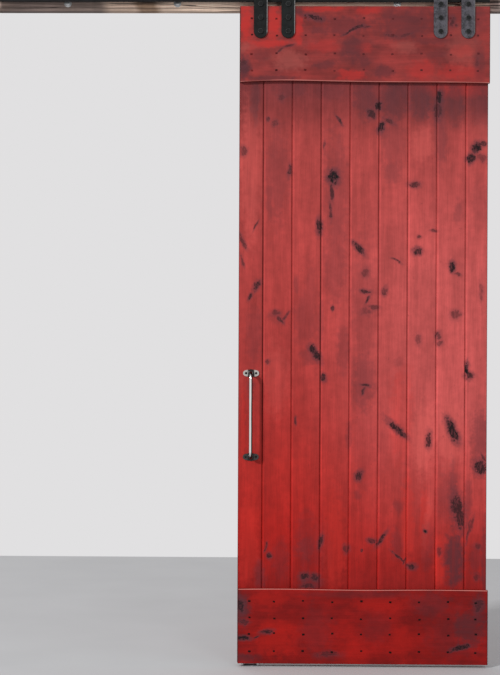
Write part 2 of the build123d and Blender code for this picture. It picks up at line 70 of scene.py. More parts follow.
# The leaf's left edge, the seams between its boards and its right edge, in mm across the leaf
half_gap = 0.4 * MM
seams = [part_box(f"board_{number}")[0].x - half_gap for number in range(2, BOARD_COUNT + 1)]
board_edges = [(x - leaf_left) / MM for x in (leaf_left, *seams, leaf_right)]


def middle(node):
    """The middle of a CAD node's box."""
    low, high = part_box(node)
    return (low + high) / 2


# Shader maths

def tone(red, green, blue):
    """The linear colour of a screen colour from 0 to 255."""
    shares = [value / 255 for value in (red, green, blue)]
    return tuple(s / 12.92 if s <= 0.04045 else ((s + 0.055) / 1.055) ** 2.4 for s in shares) + (1.0,)


class Wire:
    """A node's output in Python arithmetic. Each operator adds one Math node."""

    def __init__(self, graph, socket):
        self.graph, self.socket = graph, socket

    def maths(self, operation, *values):
        return self.graph.node("ShaderNodeMath", dict(enumerate(values)), operation=operation)

    def __add__(self, other):
        return self.maths("ADD", self, other)

    def __radd__(self, other):
        return self.maths("ADD", other, self)

    def __sub__(self, other):
        return self.maths("SUBTRACT", self, other)

    def __rsub__(self, other):
        return self.maths("SUBTRACT", other, self)

    def __mul__(self, other):
        return self.maths("MULTIPLY", self, other)

    def __rmul__(self, other):
        return self.maths("MULTIPLY", other, self)

    def __truediv__(self, other):
        return self.maths("DIVIDE", self, other)

    def __rtruediv__(self, other):
        return self.maths("DIVIDE", other, self)

    def __abs__(self):
        return self.maths("ABSOLUTE", self)

    def most(self, other):
        return self.maths("MAXIMUM", self, other)


class Graph:
    """A node tree in the making, of a finish or of a repeated piece."""

    def __init__(self, tree):
        self.tree = tree

    def node(self, kind, inputs=None, out=0, **settings):
        """One node: its sockets' values or wires, and its settings. Gives one output, or all for None."""
        made = self.tree.nodes.new(kind)
        for key, value in settings.items():
            if key == "stops":
                self.set_stops(made.color_ramp, value)
            elif key == "blend":
                made.color_ramp.interpolation = value
            else:
                setattr(made, key, value)
        for key, value in (inputs or {}).items():
            if isinstance(value, Wire):
                self.tree.links.new(value.socket, made.inputs[key])
            else:
                made.inputs[key].default_value = value
        if out is None:
            return [Wire(self, socket) for socket in made.outputs]
        return Wire(self, made.outputs[out]) if made.outputs else None

    def set_stops(self, ramp, stops):
        """A ramp's stops, each a place with a colour or with a grey value."""
        for _ in range(len(stops) - len(ramp.elements)):
            ramp.elements.new(1.0)
        for stop, (place, value) in zip(ramp.elements, stops):
            stop.position = place
            stop.color = value if isinstance(value, tuple) else (value, value, value, 1.0)

    def vector(self, operation, *values, out=0):
        return self.node("ShaderNodeVectorMath", dict(enumerate(values)), out, operation=operation)

    def scaled(self, vector, factor):
        return self.node("ShaderNodeVectorMath", {0: vector, 3: factor}, operation="SCALE")


class Finish(Graph):
    """The material of one finish, built on object coordinates in metres."""

    def __init__(self, name):
        self.material = bpy.data.materials.new(name)
        self.material.use_nodes = True
        super().__init__(self.material.node_tree)
        self.tree.nodes.clear()
        self.place = self.node("ShaderNodeTexCoord", out="Object")
        self.x, self.y, self.z = self.node("ShaderNodeSeparateXYZ", {0: self.place}, None)
        facing = self.node("ShaderNodeNewGeometry", out="True Normal")
        parts = self.node("ShaderNodeSeparateXYZ", {0: facing}, None)
        self.facing_x, self.facing_y, self.facing_z = parts

    def noise(self, scale, detail=2.0, rough=0.5, stretch=(1, 1, 1), shift=0.0, out="Fac"):
        """Noise with this many features in a metre, stretched where the factor is under 1."""
        moved = {"Vector": self.place, "Location": (shift, shift, shift), "Scale": stretch}
        where = self.node("ShaderNodeMapping", moved)
        values = {"Vector": where, "Scale": scale, "Detail": detail, "Roughness": rough}
        return self.node("ShaderNodeTexNoise", values, out)

    def eased(self, value, start, end, low=0.0, high=1.0):
        """Goes smoothly from low to high while the value goes from start to end."""
        limits = {"Value": value, "From Min": start, "From Max": end, "To Min": low, "To Max": high}
        return self.node("ShaderNodeMapRange", limits, interpolation_type="SMOOTHSTEP")

    def off_oval(self, where, centre, half_width, half_height, turn=0):
        """How far a place lies from an oval's centre, seen from the front: 1 on the oval's rim."""
        values = {
            "Vector": where,
            "Location": (centre[0], 0.0, centre[1]),
            "Rotation": (0.0, radians(turn), 0.0),
            "Scale": (half_width, 1.0, half_height),
        }
        local = self.node("ShaderNodeMapping", values, vector_type="TEXTURE")
        return self.vector("LENGTH", local, out="Value")

    def mix(self, factor, under, over):
        return self.node("ShaderNodeMix", {0: factor, 6: under, 7: over}, 2, data_type="RGBA")

    def ramp(self, value, *stops, blend="LINEAR"):
        return self.node("ShaderNodeValToRGB", {0: value}, stops=stops, blend=blend)

    def surface(self, colour, roughness, height, depth, **constants):
        """Closes the material: its principled shader with a bump, and the output."""
        bump = self.node("ShaderNodeBump", {"Strength": 1.0, "Distance": depth, "Height": height})
        values = {"Base Color": colour, "Roughness": roughness, "Normal": bump}
        values.update({name.replace("_", " "): value for name, value in constants.items()})
        shader = self.node("ShaderNodeBsdfPrincipled", values)
        self.node("ShaderNodeOutputMaterial", {"Surface": shader})
        return self.material


# Marks in the paint, on the leaf: mm from its left edge, mm below its top edge,
# half width, half height, clockwise turn in degrees, strength
KNOTS = (
    (347, 625, 18, 24, 0, 1.0), (342, 680, 6, 29, -4, 0.7), (337, 746, 5, 29, -3, 0.6),
    (295, 805, 10, 26, 0, 0.85), (508, 364, 11, 16, 15, 0.9), (486, 394, 11, 16, -20, 0.7),
    (521, 441, 10, 18, 15, 0.9), (548, 418, 22, 7, 30, 0.6), (735, 332, 9, 18, 0, 0.9),
    (729, 383, 13, 29, 0, 0.55), (873, 515, 15, 18, 30, 0.95), (851, 555, 13, 18, 20, 0.9),
    (898, 501, 11, 9, 0, 0.7), (892, 552, 16, 13, 20, 0.5), (105, 412, 6, 7, 0, 0.6),
    (130, 426, 11, 11, 0, 0.4), (155, 331, 13, 11, 30, 0.4), (367, 414, 4, 16, -35, 0.75),
    (184, 603, 7, 18, 10, 0.65), (18, 529, 13, 15, 0, 0.5), (64, 805, 3, 18, 25, 0.6),
    (15, 863, 7, 26, -25, 0.6), (12, 936, 5, 18, -20, 0.5), (644, 651, 18, 11, 0, 0.7),
    (662, 843, 7, 7, 0, 0.6), (716, 822, 12, 5, 0, 0.55), (314, 507, 4, 15, 0, 0.5),
    (441, 887, 9, 27, -42, 0.85), (657, 896, 15, 13, 0, 0.85), (786, 953, 10, 18, 0, 0.95),
    (804, 981, 11, 5, 15, 0.5), (67, 1027, 10, 18, 30, 0.8), (43, 1066, 6, 12, 25, 0.75),
    (135, 1125, 15, 9, 0, 0.45), (157, 1150, 5, 15, -40, 0.6), (174, 1136, 4, 15, 40, 0.55),
    (284, 1275, 12, 29, -30, 0.9), (313, 1363, 9, 13, 0, 0.8), (465, 1043, 16, 7, 10, 0.75),
    (474, 1076, 4, 13, 35, 0.8), (500, 1104, 18, 7, 8, 0.5), (469, 1121, 18, 11, 0, 0.35),
    (465, 977, 12, 16, 0, 0.45), (535, 1043, 10, 15, 15, 0.6), (580, 931, 3, 18, -60, 0.6),
    (346, 1106, 5, 10, 0, 0.7), (734, 1208, 10, 13, 0, 0.65), (740, 1234, 11, 10, 0, 0.5),
    (798, 1131, 18, 15, 0, 0.5), (841, 1332, 7, 26, 0, 1.0), (848, 1354, 15, 13, 0, 0.8),
    (470, 1392, 15, 5, 12, 0.7), (462, 1412, 5, 11, 20, 0.7), (660, 1223, 9, 18, 0, 0.4),
    (108, 1309, 8, 8, 0, 0.5), (892, 1047, 7, 29, 0, 0.35), (585, 1551, 11, 38, -48, 0.9),
    (701, 1591, 10, 26, 0, 0.8), (788, 1556, 15, 42, -24, 0.95), (891, 1691, 22, 22, 0, 0.85),
    (904, 1655, 4, 15, -30, 0.6), (808, 1846, 20, 59, -12, 0.8), (443, 1725, 11, 18, 25, 0.8),
    (305, 1969, 8, 22, 10, 0.75), (531, 1953, 7, 29, 35, 0.8), (493, 1961, 15, 8, 0, 0.7),
    (690, 1926, 6, 6, 0, 0.95), (104, 1989, 4, 15, 20, 0.6), (118, 2019, 9, 11, 0, 0.85),
    (212, 1524, 4, 11, 0, 0.6), (400, 1994, 10, 15, 0, 0.5), (884, 1981, 10, 11, 0, 0.45),
    (848, 1926, 4, 37, 12, 0.55), (862, 1897, 4, 26, 15, 0.45), (592, 2023, 3, 27, -50, 0.7),
    (614, 2037, 3, 11, 30, 0.6), (641, 2057, 16, 10, 0, 0.8), (247, 2095, 16, 15, 0, 0.8),
    (284, 2098, 15, 13, 20, 0.7), (262, 2131, 22, 9, 0, 0.6), (742, 2000, 8, 13, 0, 0.45),
    (881, 2095, 13, 11, 0, 0.45), (456, 1998, 4, 4, 0, 0.6),
)
STAINS = (
    (58, 342, 16, 81, 0, 0.75), (112, 709, 11, 73, 0, 0.4), (60, 250, 22, 29, 0, 0.3),
    (188, 305, 51, 29, 0, 0.35), (335, 313, 51, 29, 0, 0.3), (464, 334, 36, 66, 0, 0.55),
    (574, 340, 51, 76, 0, 0.6), (668, 346, 44, 70, 0, 0.7), (736, 361, 26, 90, 0, 0.6),
    (790, 350, 40, 80, 0, 0.6), (885, 350, 40, 84, 0, 0.45), (742, 471, 22, 110, 0, 0.5),
    (561, 603, 33, 40, 0, 0.45), (530, 460, 33, 29, 0, 0.4), (385, 1260, 22, 88, 0, 0.35),
    (257, 1283, 29, 33, 0, 0.4), (805, 753, 18, 37, 0, 0.35), (267, 1077, 22, 110, 0, 0.2),
    (58, 1206, 29, 103, 0, 0.3), (408, 1580, 11, 51, 0, 0.4), (591, 1839, 15, 26, 0, 0.35),
    (441, 1792, 15, 18, 0, 0.35), (254, 1988, 33, 51, 0, 0.5), (797, 2030, 34, 100, 0, 0.8),
    (778, 2014, 26, 44, 0, 0.6), (82, 2095, 22, 51, 0, 0.45),
    (273, 2116, 44, 29, 0, 0.5), (698, 1975, 22, 88, 0, 0.35), (873, 2029, 22, 51, 0, 0.4),
    (159, 2033, 29, 73, 0, 0.25), (588, 1975, 22, 51, 0, 0.35), (847, 1809, 15, 81, 0, 0.4),
    (529, 1627, 29, 110, 0, 0.15), (123, 548, 15, 15, 0, 0.35), (590, 1304, 18, 18, 0, 0.3),
    (212, 1022, 11, 29, 0, 0.3), (146, 1143, 33, 26, 0, 0.3), (461, 1590, 40, 190, 0, 0.2),
    (892, 1590, 34, 110, 0, 0.5), (355, 700, 42, 240, 0, 0.35), (142, 610, 44, 170, 0, 0.3),
    (461, 1090, 42, 240, 0, 0.25), (567, 490, 44, 100, 0, 0.3), (302, 1160, 10, 90, 0, 0.3),
    (46, 1400, 12, 40, 0, 0.5), (790, 1750, 16, 75, 0, 0.5), (300, 1980, 40, 90, 0, 0.2),
    (355, 950, 40, 130, 0, 0.3), (248, 1150, 42, 100, 0, 0.25), (461, 1380, 40, 110, 0, 0.45),
    (250, 1960, 40, 90, 0, 0.25), (892, 720, 36, 80, 0, 0.2), (906, 2020, 10, 130, 0, 0.5),
    (778, 1800, 38, 90, 0, 0.35),
)
FRESH = (
    (355, 1970, 42, 170, 0, 0.4), (40, 1970, 36, 160, 0, 0.4), (800, 300, 120, 30, 0, 0.35),
    (19, 1560, 8, 130, 0, 0.6), (690, 1900, 20, 110, 0, 0.5), (600, 1500, 40, 180, 0, 0.25),
    (625, 1890, 22, 150, 0, 0.5), (742, 2040, 20, 90, 0, 0.5),
)
FADED = (
    (680, 1590, 42, 120, 0, 0.45), (780, 1570, 40, 110, 0, 0.38), (142, 1370, 45, 120, 0, 0.15),
    (674, 500, 40, 60, 0, 0.3), (700, 1860, 12, 90, 8, 0.2), (44, 600, 36, 240, 0, 0.28),
    (892, 470, 30, 70, 0, 0.2),
)
TOP_KNOTS = (
    (272, 42, 30, 9, 12, 0.9), (411, 89, 4, 30, 62, 0.75), (440, 74, 4, 20, 76, 0.75),
    (180, 145, 4, 18, 78, 0.6), (150, 162, 3, 15, 52, 0.5), (561, 108, 20, 5, 10, 0.4),
    (610, 106, 20, 5, -25, 0.35), (780, 58, 9, 16, 15, 0.55), (762, 46, 5, 9, 0, 0.5),
    (795, 68, 6, 6, 0, 0.5), (18, 206, 10, 16, 15, 0.45), (870, 206, 8, 12, 0, 0.3),
    (470, 76, 12, 4, -8, 0.5),
)
TOP_STAINS = (
    (218, 18, 14, 18, 0, 0.75), (381, 71, 76, 38, 0, 0.6), (289, 88, 32, 14, 0, 0.5),
    (414, 152, 40, 50, 0, 0.65), (311, 214, 48, 16, -6, 0.6), (18, 228, 22, 44, 0, 1.0),
    (77, 180, 33, 22, 0, 0.4), (106, 264, 106, 9, 0, 0.6), (608, 64, 98, 55, 0, 0.65),
    (542, 35, 24, 20, 0, 0.5), (593, 108, 42, 18, 0, 0.5), (706, 126, 55, 13, 0, 0.5),
    (527, 240, 38, 20, 0, 0.65), (717, 177, 38, 14, 0, 0.4), (878, 203, 20, 60, 0, 0.5),
    (772, 49, 18, 26, 0, 0.4), (457, 203, 26, 24, 0, 0.55), (875, 60, 30, 60, 0, 0.35),
)
TOP_FRESH = (
    (22, 60, 24, 64, 0, 0.8), (124, 60, 24, 62, 0, 0.75), (214, 92, 18, 50, 0, 0.7),
    (121, 137, 66, 14, 0, 0.65), (300, 11, 72, 9, 0, 0.6), (311, 145, 55, 24, 0, 0.35),
    (410, 252, 50, 18, 0, 0.65), (472, 16, 42, 14, 0, 0.6), (457, 152, 28, 18, 0, 0.3),
    (670, 234, 55, 34, 0, 0.45), (816, 163, 38, 20, 0, 0.45), (800, 240, 80, 28, 0, 0.5),
)
TOP_FADED = (
    (183, 196, 60, 36, 0, 0.6), (18, 152, 18, 18, 0, 0.45), (607, 148, 42, 22, 0, 0.5),
    (822, 150, 60, 70, 0, 0.4),
)
BOTTOM_KNOTS = (
    (108, 2296, 20, 8, -12, 0.85), (22, 2320, 26, 8, 4, 0.95), (72, 2316, 9, 3, -25, 0.75),
    (9, 2198, 15, 22, 0, 0.85), (28, 2262, 15, 10, 0, 0.5), (818, 2350, 30, 7, -14, 0.9),
    (785, 2364, 8, 3, -20, 0.6), (332, 2376, 40, 8, -3, 0.45), (884, 2196, 12, 26, 15, 0.5),
)
BOTTOM_STAINS = (
    (14, 2214, 28, 60, 0, 0.85), (40, 2392, 44, 14, 0, 0.75), (289, 2296, 56, 88, 0, 0.3),
    (509, 2276, 53, 50, 0, 0.25), (708, 2193, 66, 46, 0, 0.45), (847, 2278, 56, 60, 0, 0.8),
    (884, 2215, 24, 60, 0, 0.7), (330, 2386, 60, 14, 0, 0.4), (448, 2158, 200, 12, 0, 0.35),
    (870, 2330, 24, 24, 0, 0.6), (800, 2300, 100, 100, 0, 0.3),
)
BOTTOM_FRESH = (
    (146, 2326, 70, 64, 0, 0.7), (120, 2180, 60, 24, 0, 0.55), (525, 2193, 88, 30, 0, 0.55),
    (429, 2360, 53, 34, 0, 0.5), (602, 2333, 40, 66, 0, 0.45),
)

# How much glaze lies in each seam, from left to right: at its head, middle and foot
SEAM_GLAZE = (
    (0.45, 0.75, 0.12), (0.1, 0.32, 0.05), (0.28, 0.75, 0.25), (0.08, 0.28, 0.0),
    (0.32, 0.5, 0.0), (0.0, 0.38, 0.05), (0.0, 0.18, 0.0), (0.0, 0.32, 0.1),
)


def near(marks, left, right):
    """The marks whose haze reaches into a board between two places across the leaf, in mm."""
    found = []
    for mark in marks:
        reach = 2.6 * max(mark[2:4])
        if left - reach < mark[0] < right + reach:
            found.append(mark)
    return found


class Paint(Finish):
    """Red paint on knotty wood, worn back and glazed."""

    def __init__(self, name, upright, seed):
        super().__init__(name)
        self.upright = upright
        wobble = self.noise(34, 2, 0.5, shift=seed, out="Color")
        centred = self.vector("SUBTRACT", wobble, (0.5, 0.5, 0.5))
        self.wandered = self.vector("ADD", self.place, self.scaled(centred, 16 * MM))
        self.fibre = self.grain(300, 3, 0.6, 0.045, seed)
        self.streak = self.grain(42, 3, 0.55, 0.07, seed + 3)
        self.cloud = self.grain(9, 3, 0.55, 0.4, seed + 6)
        self.fray = self.noise(120, 4, 0.7, shift=seed + 9)
        self.bays = self.noise(48, 2, 0.5, shift=seed + 12)
        self.hatch = self.noise(210, 3, 0.6, (1, 1, 0.4) if upright else (0.4, 1, 1), seed)
        self.ragged = self.fray * 1.9 + self.bays * 1.5 - 1.7
        self.drifting = self.fray * 0.6 + self.bays * 1.5 - 1.05

    def grain(self, scale, detail, rough, along, shift):
        """Noise drawn out along the grain."""
        stretch = (1, 1, along) if self.upright else (along, 1, 1)
        return self.noise(scale, detail, rough, stretch, shift)

    def spots(self, marks, inner, outer, ragged):
        """How far a point lies inside the marks: the strongest of them, with frayed edges."""
        found = None
        for across, down, half_width, half_height, turn, strength in marks:
            centre = (leaf_left + across * MM, leaf_top - down * MM)
            away = self.off_oval(self.wandered, centre, half_width * MM, half_height * MM, turn)
            inside = self.eased(away + ragged, outer, inner, 0.0, strength)
            found = inside if found is None else found.most(inside)
        return found

    def patched(self, colour, marks, patch, drawn_from=0.75):
        """The colour with soft patches of another one, drawn along the grain."""
        soft = self.spots(marks, inner=0.5, outer=1.5, ragged=self.drifting)
        drawn = self.eased(self.streak, 0.3, 0.62, drawn_from, 1.0)
        return self.mix(soft * drawn, colour, patch)

    def knotted(self, colour, knots):
        """The colour with dark flecks, and with knots in their haze."""
        flecks = self.eased(self.hatch + self.bays, 1.26, 1.42) * 0.3
        colour = self.mix(flecks, colour, tone(60, 26, 28))
        self.core = None
        if knots:
            haze = self.spots(knots, inner=0.7, outer=2.2, ragged=self.ragged * 0.6)
            colour = self.mix(haze * 0.85, colour, tone(84, 45, 52))
            scratched = self.eased(self.hatch, 0.38, 0.54, 0.5, 1.0)
            self.core = self.spots(knots, inner=0.75, outer=1.1, ragged=self.ragged) * scratched
            dark = self.mix(self.core, tone(58, 28, 31), tone(9, 7, 10))
            colour = self.mix(self.core, colour, dark)
        return colour

    def brushed(self, colour):
        """Brush strokes, grain and uneven coats."""
        coats = self.eased(self.cloud, 0.28, 0.72, 0.86, 1.13)
        blotches = self.eased(self.noise(30, 3, 0.6, shift=7.0), 0.3, 0.7, 0.92, 1.07)
        strokes = self.eased(self.streak, 0.3, 0.7, 0.9, 1.1)
        fibres = self.eased(self.fibre, 0.3, 0.7, 0.93, 1.05)
        return self.scaled(colour, coats * blotches * strokes * fibres)

    def closed(self, colour, shine):
        """The finished material."""
        height = self.fibre * 0.5 + self.streak * 0.5
        roughness = 0.42 + self.cloud * 0.16
        if self.core is not None:
            height = height - self.core * 1.1
            roughness = roughness + self.core * 0.18
        return self.surface(colour, roughness, height, 0.9 * MM, Specular_IOR_Level=shine)


def board_paint(number):
    """The paint of one upright board, with the glaze in the seams beside it, painted sheen, painted
    highlights at the seams and painted shade along the leaf's outer edges.
    """
    paint = Paint(f"red_paint_board_{number}", upright=True, seed=1.7 * number)
    left, right = board_edges[number - 1 : number + 1]
    down = (leaf_top - paint.z) * (1 / leaf_height)
    base = paint.ramp(
        down,
        (0.12, tone(120, 47, 48)),
        (0.155, tone(128, 48, 47)),
        (0.2, tone(160, 60, 57)),
        (0.36, tone(168, 60, 57)),
        (0.54, tone(160, 51, 48)),
        (0.7, tone(168, 38, 33)),
        (0.8, tone(158, 25, 20)),
        (0.88, tone(140, 21, 18)),
    )
    # Painted sheen: the paint paled at mid height, more towards the leaf's right, as a painted reflection of
    # a lamp
    painted_sheen_height = paint.ramp(down, (0.14, 0.0), (0.4, 1.0), (0.62, 1.0), (0.85, 0.06))
    painted_sheen_side = paint.eased(paint.x, leaf_left + 150 * MM, leaf_right - 150 * MM)
    base = paint.mix(painted_sheen_height * painted_sheen_side * 0.85, base, tone(190, 82, 80))
    colour = paint.brushed(base)
    patches = ((FRESH, tone(200, 46, 38)), (FADED, tone(220, 96, 90)), (STAINS, tone(74, 40, 46)))
    for marks, patch in patches:
        here = near(marks, left, right)
        if here:
            colour = paint.patched(colour, here, patch, drawn_from=0.6)
    colour = paint.knotted(colour, near(KNOTS, left, right))
    # The seams' dark glaze, also used as painted shade on the leaf's outer edges
    glaze = tone(40, 13, 14)
    sunk = paint.eased(paint.y, board_front + 0.6 * MM, board_front + 2.4 * MM)
    worn = paint.eased(paint.streak, 0.3, 0.6, 0.7, 1.0)
    # Each edge of the board with the direction from it into the board, and whether it is the leaf's own
    for edge, direction, outer in ((left, 1, number == 1), (right, -1, number == BOARD_COUNT)):
        side_on = paint.eased(paint.facing_x * -direction, 0.25, 0.6)
        reach = (paint.x - (leaf_left + edge * MM)) * direction
        if outer:
            # Painted shade: a dark line along the leaf's outer edge, and its outer side darkened
            rim = paint.eased(reach, 1 * MM, 4 * MM, 0.4, 0.0)
            glaze_and_edge_shade = (side_on * 0.8).most(rim)
        else:
            head, waist, foot = SEAM_GLAZE[number - 2 if direction == 1 else number - 1]
            deep = paint.ramp(down, (0.13, head), (0.3, waist), (0.6, waist), (0.78, foot))
            # Painted highlights: the groove's sides lightened, and on the board's left edge a strip 3 to 9
            # mm from the seam, as where the bevels catch the lamp on the left
            polish_and_painted_highlight = paint.eased(reach, 3 * MM, 5 * MM) * paint.eased(reach, 9 * MM, 6 * MM)
            light = side_on * sunk * 0.35
            if direction == 1:
                light = light.most(polish_and_painted_highlight * worn * 0.3)
            colour = paint.scaled(colour, light + 1)
            beside = paint.eased(reach + paint.streak * (2 * MM), 2.6 * MM, 4.6 * MM, 0.3, 0.0)
            glaze_and_edge_shade = (side_on * sunk).most(beside) * deep
        colour = paint.mix(glaze_and_edge_shade * worn, colour, glaze)
    return paint.closed(colour, shine=0.15)


def batten_paint(node, shades, knots, patches, hewn_z, wander, direction, seed):
    """The paint of a batten, worn to a light line along its hewn edge: its lower one in direction 1."""
    paint = Paint(f"red_paint_{node}", upright=False, seed=seed)
    low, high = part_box(node)
    dull, bright = shades
    uneven = paint.grain(16, 3, 0.55, 0.45, 41.0)
    colour = paint.brushed(paint.ramp(uneven, (0.34, dull), (0.66, bright)))
    for patch, marks in patches:
        colour = paint.patched(colour, marks, patch)
    colour = paint.knotted(colour, knots)
    across = (paint.x - low.x) * (1 / (high.x - low.x))
    # The ramp's range from 0 to 1 stands for this many mm
    ramp_span = 20.0
    steps = len(wander) - 1
    stops = [(i / steps, 0.5 + dip / ramp_span) for i, dip in enumerate(wander)]
    edge_ramp = paint.ramp(across, *stops, blend="CARDINAL")
    rise = (paint.z - hewn_z) * direction + (edge_ramp - 0.5) * (ramp_span * MM)
    near_edge = paint.eased(rise, 1.2 * MM, 3.2 * MM, 1.0, 0.0)
    broken = paint.eased(paint.streak, 0.28, 0.5, 0.5, 0.9)
    front_only = paint.eased(paint.facing_y, -0.3, -0.6)
    colour = paint.mix(near_edge * broken * front_only, colour, tone(206, 128, 120))
    # Painted shade: the batten's end faces, and its front within 4 mm of each end, darkened
    half = (high.x - low.x) / 2
    off_middle = abs(paint.x - (low.x + half))
    rim = paint.eased(off_middle, half - 4 * MM, half - 1 * MM, 0.0, 0.5)
    ends = paint.eased(paint.facing_x * paint.facing_x, 0.1, 0.4, 0.0, 0.75)
    colour = paint.mix(ends.most(rim), colour, tone(44, 18, 19))
    return paint.closed(colour, shine=0.14)


def weathered_wood():
    """The header's old wood: grey and brown lengths, grain, cracks and dark knots."""
    wood = Finish("weathered_wood")
    low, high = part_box("header_board")
    cloud = wood.noise(7, 3, 0.55, (0.5, 1, 1), 2.0)
    along = (wood.x + (cloud - 0.5) * 0.16 - low.x) * (1 / (high.x - low.x))
    lengths = wood.ramp(
        along,
        (0.0, tone(118, 99, 86)),
        (0.12, tone(110, 95, 90)),
        (0.26, tone(114, 99, 92)),
        (0.28, tone(186, 162, 146)),
        (0.33, tone(184, 160, 143)),
        (0.345, tone(128, 104, 86)),
        (0.375, tone(130, 106, 88)),
        (0.39, tone(190, 167, 150)),
        (0.62, tone(184, 162, 146)),
        (0.93, tone(186, 164, 147)),
        (0.95, tone(114, 94, 88)),
        (1.0, tone(130, 122, 118)),
    )
    grain = wood.noise(150, 4, 0.62, (0.035, 1, 1), 5.0)
    fine = wood.noise(520, 2, 0.5, (0.03, 1, 1), 8.0)
    saw = wood.noise(120, 2, 0.5, (1, 0.3, 0.12), 11.0)
    coats = wood.eased(cloud, 0.3, 0.7, 0.86, 1.1) * wood.eased(grain, 0.3, 0.7, 0.66, 1.26)
    # Painted light: brighter below the track, where the track's cast shadow falls, and darker again along
    # the foot as painted shade
    painted_light_band = wood.eased(wood.z + (grain - 0.5) * (16 * MM), -14 * MM, -26 * MM, 1.0, 2.1)
    edge = wood.eased(wood.z + (grain - 0.5) * (12 * MM), -36 * MM, -43 * MM, 1.0, 0.52)
    sawn = wood.eased(fine, 0.3, 0.7, 0.92, 1.06) * wood.eased(saw, 0.3, 0.7, 0.95, 1.04)
    colour = wood.scaled(lengths, coats * sawn * painted_light_band * edge)
    split = wood.noise(26, 3, 0.5, (0.03, 1, 1), 14.0)
    off_middle = (split - 0.5) * (split - 0.5)
    crack = wood.eased(off_middle, 0.0, 0.0002, 1.0, 0.0) * wood.eased(cloud, 0.36, 0.54)
    colour = wood.mix(crack * 0.85, colour, tone(40, 30, 26))
    fray = wood.noise(70, 3, 0.6, shift=3.0) * 1.2 - 0.6
    # Knots: mm from the header's middle across and up, and half their height
    for across, above, half_height in ((-710, 12, 17), (180, -20, 13), (690, 22, 15)):
        centre = (across * MM, above * MM)
        away = wood.off_oval(wood.place, centre, half_height * 1.7 * MM, half_height * MM)
        inside = wood.eased(away + fray, 1.3, 0.5)
        colour = wood.mix(inside * 0.7, colour, tone(58, 42, 34))
    height = grain * 0.7 + fine * 0.3 - crack * 2.0
    return wood.surface(colour, 0.72 + cloud * 0.16, height, 1.2 * MM, Specular_IOR_Level=0.25)


def metal(name, tones, rough, scales, depth, stretch=(1, 1, 1), metallic=1.0, edges=None, shine=0.3):
    """A metal: two tones in clouds, a fine grain, and lighter eased edges where they are given."""
    steel = Finish(name)
    cloud = steel.noise(scales[0], 3, 0.55)
    grain = steel.noise(scales[1], 2, 0.5, stretch, 4.0)
    colour = steel.mix(steel.eased(cloud, 0.32, 0.68), *tones)
    colour = steel.scaled(colour, steel.eased(grain, 0.3, 0.7, 0.9, 1.1))
    if edges:
        turned_off = steel.facing_y * steel.facing_y
        eased_edge = steel.eased(turned_off, 0.2, 0.4) * steel.eased(turned_off, 0.9, 0.7)
        colour = steel.mix(eased_edge * steel.eased(cloud, 0.3, 0.55, 0.3, 0.9), colour, edges)
    roughness = rough + (cloud - 0.5) * 0.18 + (grain - 0.5) * 0.1
    height = grain * 0.7 + cloud * 0.3
    return steel.surface(colour, roughness, height, depth, Metallic=metallic, Specular_IOR_Level=shine)


def worn_steel(name, bright):
    """Black steel that is polished bright where a mask says that wheels run."""
    steel = Finish(name)
    cloud = steel.noise(60, 3, 0.55)
    grain = steel.noise(700, 2, 0.5, shift=4.0)
    colour = steel.mix(steel.eased(cloud, 0.32, 0.68), tone(6, 6, 7), tone(17, 16, 18))
    polish_and_painted_highlight = bright(steel) * steel.eased(grain + cloud, 0.7, 1.05, 0.65, 1.0)
    colour = steel.mix(polish_and_painted_highlight, colour, tone(176, 174, 170))
    roughness = 0.46 + (cloud - 0.5) * 0.16 - polish_and_painted_highlight * 0.2
    height = grain * (1 - polish_and_painted_highlight * 0.7)
    return steel.surface(colour, roughness, height, 0.1 * MM, Metallic=polish_and_painted_highlight, Specular_IOR_Level=0.14)


def strap_steel(node):
    """A hanger's strap: black at the left hanger and a mottled grey at the right, where the grey is a
    painted reflection of a lamp, with a painted highlight along each leg's right edge.
    """
    steel = Finish(f"{node}_steel")
    low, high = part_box(node)
    cloud = steel.noise(45, 3, 0.6)
    scale = steel.noise(230, 3, 0.6, shift=3.0)
    grain = steel.noise(700, 2, 0.5, shift=4.0)
    # The right strap's lighter tones are a painted reflection, and both edge tones are painted highlights
    if node.startswith("right"):
        dark, light, edge, shine = tone(32, 31, 36), tone(80, 77, 84), tone(104, 103, 104), 0.3
    else:
        dark, light, edge, shine = tone(5, 6, 6), tone(17, 20, 20), tone(150, 150, 150), 0.16
    colour = steel.mix(steel.eased(cloud * 0.6 + scale * 0.4, 0.36, 0.62), dark, light)
    # Painted highlight: a strip within 3.4 mm of each leg's right edge, as where the bevel catches the light
    leg_half = 25 * MM
    arch_z = high.z - (high.x - low.x) / 2
    polish_and_painted_highlight = None
    for leg in (low.x + leg_half, high.x - leg_half):
        off = steel.x - leg
        painted_light_band = steel.eased(off, leg_half - 3.4 * MM, leg_half - 1.4 * MM)
        painted_light_band = painted_light_band * steel.eased(off, leg_half + 1 * MM, leg_half)
        polish_and_painted_highlight = painted_light_band if polish_and_painted_highlight is None else polish_and_painted_highlight.most(painted_light_band)
    legs_only = steel.eased(steel.z, arch_z - 8 * MM, arch_z - 40 * MM)
    broken = steel.eased(scale, 0.3, 0.6, 0.35, 0.9)
    colour = steel.mix(polish_and_painted_highlight * legs_only * broken, colour, edge)
    roughness = 0.44 + (cloud - 0.5) * 0.2 + (scale - 0.5) * 0.15
    height = scale * 0.6 + grain * 0.2 + cloud * 0.5
    return steel.surface(colour, roughness, height, 0.35 * MM, Specular_IOR_Level=shine)


